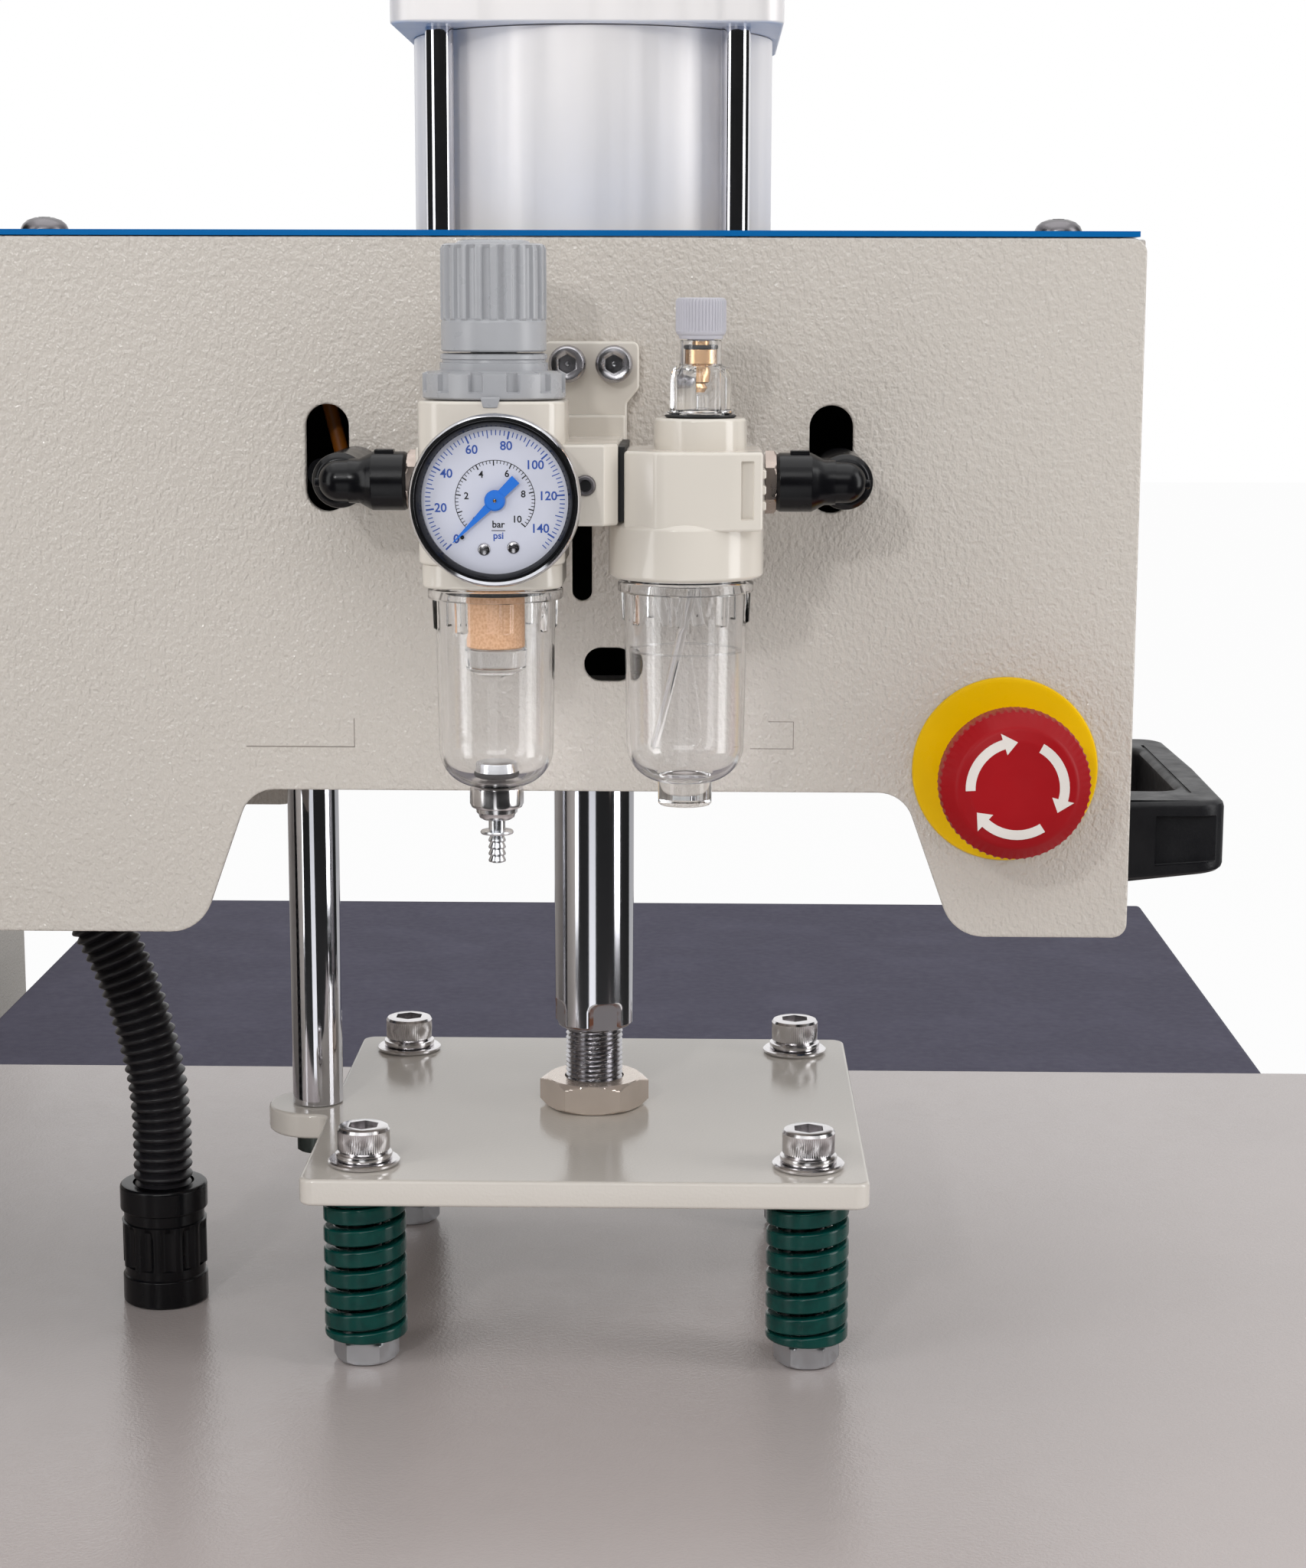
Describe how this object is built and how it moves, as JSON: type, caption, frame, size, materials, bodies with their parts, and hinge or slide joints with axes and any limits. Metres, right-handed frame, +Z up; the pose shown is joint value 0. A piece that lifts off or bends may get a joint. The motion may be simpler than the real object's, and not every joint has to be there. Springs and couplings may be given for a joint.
{
  "type": "pneumatic heat press",
  "caption": "Double-station pneumatic heat press: a cylinder head on shuttle rails lowers a sprung hot platen onto padded tables, with air service unit and emergency stop.",
  "frame": {"origin": "on the bench surface, under the middle of the bed's footprint", "axes": "+X from the rear box towards the operator and the handle, +Y from the station the head rests at towards the other one, +Z up"},
  "size_m": [0.89, 1.32, 0.7259],
  "materials": {
    "cream_paint": "textured cream powder coat",
    "cover_paint": "smooth satin grey-beige paint",
    "plate_paint": "glossy cream paint",
    "cream_body": "glossy cream enamel",
    "blue_film": "blue protective film on sheet",
    "pad_grey": "dark grey silicone pad",
    "black_plastic": "matt black",
    "grey_plastic": "satin mid grey",
    "clear_plastic": "clear, tinted by what is inside",
    "chrome": "hard chrome",
    "zinc": "bright zinc plate",
    "nickel": "warm nickel plate",
    "aluminium": "drawn and machined",
    "spring_green": "green coated spring steel",
    "stop_red": "satin red",
    "stop_yellow": "satin yellow",
    "pointer_blue": "blue paint",
    "rubber": "black rubber"
  },
  "bodies": {
    "base": {"bed": "cream_paint", "foot_1": "rubber", "foot_2": "rubber", "foot_3": "rubber", "foot_4": "rubber", "table_base_near": "cream_paint", "table_base_far": "cream_paint", "table_pad_near": "pad_grey", "table_pad_far": "pad_grey", "rear_box": "cream_paint", "rail_back": "chrome", "rail_front": "chrome"},
    "head": {"carriage": "zinc", "head_side_near": "cream_paint", "head_side_far": "cream_paint", "head_front": "cream_paint", "head_base_plate": "cream_paint", "top_cover": "blue_film", "cylinder_front_cap": "aluminium", "cylinder_barrel": "aluminium", "cylinder_top_cap": "aluminium", "conduit": "black_plastic", "front_handle": "black_plastic", "estop_plate": "stop_yellow", "frl_bracket": "cream_body", "reg_body": "cream_body", "reg_bonnet": "grey_plastic", "gauge_case": "chrome", "filter_bowl": "clear_plastic", "drain_body": "nickel", "lub_body": "cream_body", "lub_dome": "clear_plastic", "lub_bowl": "clear_plastic", "elbow_left": "black_plastic", "elbow_right": "black_plastic"},
    "press": {"piston_rod": "chrome", "rod_nut": "nickel", "mount_plate": "plate_paint", "guide_rod": "chrome", "spring_1": "spring_green", "spring_2": "spring_green", "spring_3": "spring_green", "spring_4": "spring_green"},
    "platen": {"spring_bolt_1": "chrome", "spring_bolt_2": "chrome", "spring_bolt_3": "chrome", "spring_bolt_4": "chrome", "spring_nut_1": "zinc", "spring_nut_2": "zinc", "spring_nut_3": "zinc", "spring_nut_4": "zinc", "heat_platen": "aluminium", "platen_cover": "cover_paint", "conduit_connector": "black_plastic"},
    "pressure_knob": {"reg_knob": "grey_plastic"},
    "drip_knob": {"lub_knob": "grey_plastic"},
    "pointer": {"gauge_pointer": "pointer_blue"},
    "drain_pin": {"drain_stem": "nickel"},
    "stop_stem": {"estop_stem": "black_plastic"},
    "stop_cap": {"estop_cap": "stop_red"}
  },
  "joints": [
    {"name": "head_shuttle", "type": "slide", "parent": "base", "child": "head", "axis": [0, 1, 0], "range_m": [0, 0.68]},
    {"name": "press_stroke", "type": "slide", "parent": "head", "child": "press", "axis": [0, 0, 1], "range_m": [-0.041, 0.035], "deforming": ["conduit"]},
    {"name": "platen_float", "type": "slide", "parent": "press", "child": "platen", "axis": [0, 0, 1], "range_m": [0, 0.005], "stiffness_N_per_m": 120000, "springref_m": -0.002, "deforming": ["spring_1", "spring_2", "spring_3", "spring_4"]},
    {"name": "pressure_knob_turn", "type": "hinge", "parent": "head", "child": "pressure_knob", "pos_m": [0.07985, -0.482, 0.5775], "axis": [0, 0, 1], "range_deg": [-720, 720]},
    {"name": "drip_knob_turn", "type": "hinge", "parent": "head", "child": "drip_knob", "pos_m": [0.13295, -0.482, 0.5565], "axis": [0, 0, 1], "range_deg": [0, 720]},
    {"name": "gauge_needle", "type": "hinge", "parent": "head", "child": "pointer", "pos_m": [0.08205, -0.5018, 0.5535], "axis": [0, 1, 0], "range_deg": [0, 270], "stiffness_Nm_per_rad": 0.002},
    {"name": "drain_push", "type": "slide", "parent": "head", "child": "drain_pin", "axis": [0, 0, 1], "range_m": [0, 0.0025], "stiffness_N_per_m": 800, "springref_m": -0.001},
    {"name": "stop_push", "type": "slide", "parent": "head", "child": "stop_stem", "axis": [0, 1, 0], "range_m": [0, 0.004], "stiffness_N_per_m": 3000, "springref_m": -0.002},
    {"name": "stop_twist", "type": "hinge", "parent": "stop_stem", "child": "stop_cap", "pos_m": [0.2171, -0.445, 0.476], "axis": [0, 1, 0], "range_deg": [0, 45], "stiffness_Nm_per_rad": 0.05}
  ]
}
